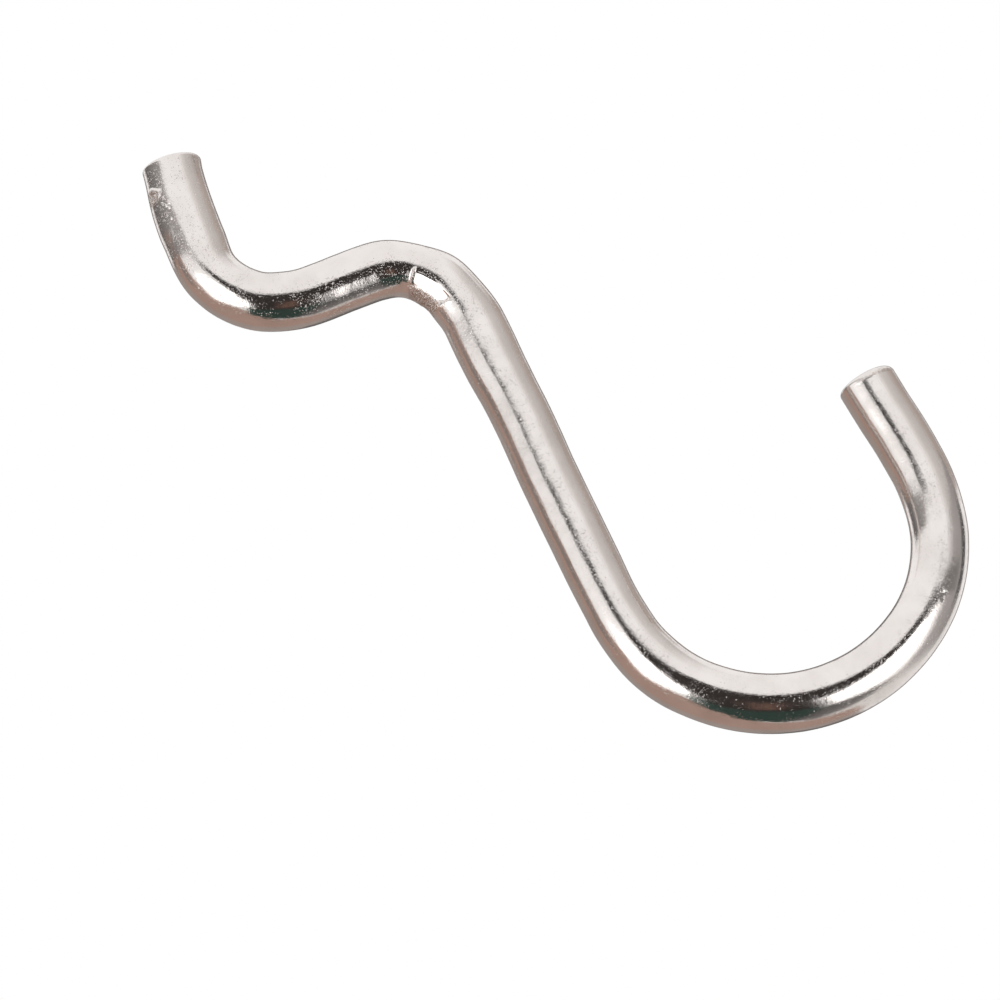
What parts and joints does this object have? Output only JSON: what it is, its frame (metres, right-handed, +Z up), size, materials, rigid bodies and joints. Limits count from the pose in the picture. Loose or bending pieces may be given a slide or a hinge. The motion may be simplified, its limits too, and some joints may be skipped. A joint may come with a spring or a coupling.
{
  "type": "pegboard hook",
  "caption": "J-shaped pegboard hook bent from one round plated steel wire, with an upturned peg that goes behind the board and a shank that hangs down its face.",
  "frame": {"origin": "middle of the crossing, the short straight stretch that lies in the board's hole, on the wire's centreline", "axes": "+Z up along the shank as the hook hangs, +X out of the board's front face towards the J, wire bent in the XZ plane and symmetric about it"},
  "size_m": [0.041, 0.004, 0.0541],
  "materials": {
    "plated_wire": "bright nickel plate over drawn steel wire: glossy, faint lengthwise drawing lines, fine pits and handling marks"
  },
  "bodies": {
    "root": {"hook_wire": "plated_wire"}
  },
  "joints": []
}
